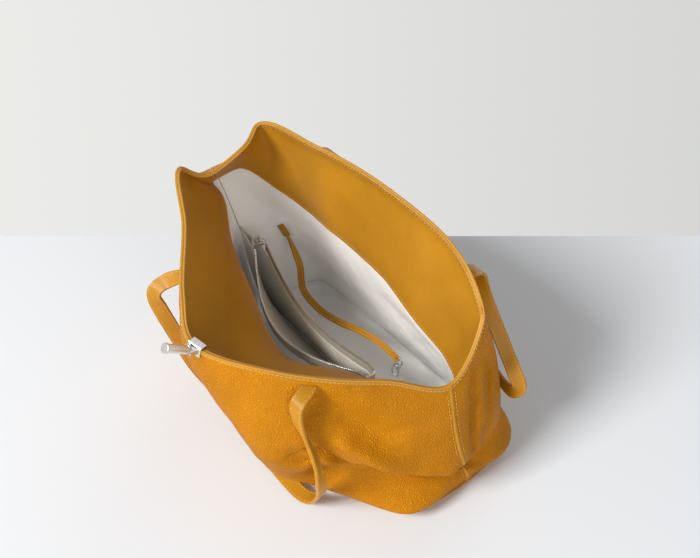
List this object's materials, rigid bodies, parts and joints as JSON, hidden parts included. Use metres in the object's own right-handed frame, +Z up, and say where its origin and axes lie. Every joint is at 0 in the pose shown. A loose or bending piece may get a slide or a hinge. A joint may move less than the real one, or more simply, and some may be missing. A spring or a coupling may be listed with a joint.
{
  "type": "leather tote bag",
  "caption": "Open-topped soft leather tote, slumped at one side, with lining, zipped divider pocket, key leash with snap hook, rim toggle clasp and hanging strap handles.",
  "frame": {"origin": "centre of the base's footprint on the surface it stands on", "axes": "+Z up, +X from the left side seam to the right one, -Y out of the front, where the clasp is"},
  "size_m": [0.4011, 0.3154, 0.2736],
  "materials": {
    "mustard_leather": "pebbled grain, satin",
    "smooth_leather": "smooth, satin",
    "cream_cotton": "woven, matt",
    "grey_cotton": "woven, matt",
    "grey_board": "pressed fibre, matt",
    "zip_tape": "woven tape, matt",
    "nickel": "nickel plated, satin",
    "polished_steel": "polished"
  },
  "bodies": {
    "bag": {"base_panel": "mustard_leather", "front_panel": "mustard_leather", "back_panel": "mustard_leather", "left_seam_welt": "smooth_leather", "right_seam_welt": "smooth_leather", "front_facing": "smooth_leather", "back_facing": "smooth_leather", "front_lining": "cream_cotton", "back_lining": "cream_cotton", "base_lining": "cream_cotton", "base_board": "grey_board", "pocket_front_wall": "grey_cotton", "pocket_back_wall": "grey_cotton", "zip_tape_front": "zip_tape", "zip_tape_back": "zip_tape", "zip_end_left": "zip_tape", "zip_end_right": "zip_tape", "zip_teeth_front": "nickel", "zip_teeth_back": "nickel", "front_left_strap_end": "smooth_leather", "front_right_strap_end": "smooth_leather", "back_left_strap_end": "smooth_leather", "back_right_strap_end": "smooth_leather", "leash_tab": "smooth_leather", "clasp_clip": "polished_steel", "clasp_pin": "polished_steel"},
    "front_handle": {"front_handle": "smooth_leather"},
    "back_handle": {"back_handle": "smooth_leather"},
    "slider": {"zip_slider": "nickel"},
    "pull_ring": {"zip_pull_ring": "nickel"},
    "leash": {"leash_strap": "smooth_leather", "swivel_eye": "polished_steel"},
    "hook": {"hook_body": "polished_steel", "gate_pin": "polished_steel"},
    "gate": {"hook_gate": "polished_steel"},
    "clasp_bar": {"clasp_bar": "polished_steel", "clasp_cap": "polished_steel"}
  },
  "joints": [
    {"name": "front_handle_swing", "type": "hinge", "parent": "bag", "child": "front_handle", "pos_m": [-0.06969, -0.18155, 0.21794], "axis": [-0.9629, -0.1468, 0.2265], "range_deg": [0, 140]},
    {"name": "back_handle_swing", "type": "hinge", "parent": "bag", "child": "back_handle", "pos_m": [-0.08937, 0.03803, 0.25979], "axis": [0.9855, 0.0642, -0.157], "range_deg": [0, 165]},
    {"name": "zip_slide", "type": "slide", "parent": "bag", "child": "slider", "axis": [0.9852, -0.0657, -0.158], "range_m": [0, 0.2047]},
    {"name": "pull_ring_flip", "type": "hinge", "parent": "slider", "child": "pull_ring", "pos_m": [-0.14345, -0.02506, 0.13811], "axis": [-0.0665, -0.9978, 0], "range_deg": [0, 130]},
    {"name": "leash_lift", "type": "hinge", "parent": "bag", "child": "leash", "pos_m": [-0.16277, 0.02637, 0.10551], "axis": [-0.3515, -0.924, -0.1506], "range_deg": [0, 65]},
    {"name": "hook_swivel", "type": "hinge", "parent": "leash", "child": "hook", "pos_m": [0.05084, 0.012, 0.06911], "axis": [-0.2496, 0, -0.9684], "continuous": true},
    {"name": "hook_gate_open", "type": "hinge", "parent": "hook", "child": "gate", "pos_m": [0.05148, 0.012, 0.06315], "axis": [0, 1, 0], "range_deg": [0, 25]},
    {"name": "clasp_toggle", "type": "hinge", "parent": "bag", "child": "clasp_bar", "pos_m": [0.00373, -0.20467, 0.19891], "axis": [-0.9872, 0.1036, 0.1214], "range_deg": [-96, 60]}
  ]
}
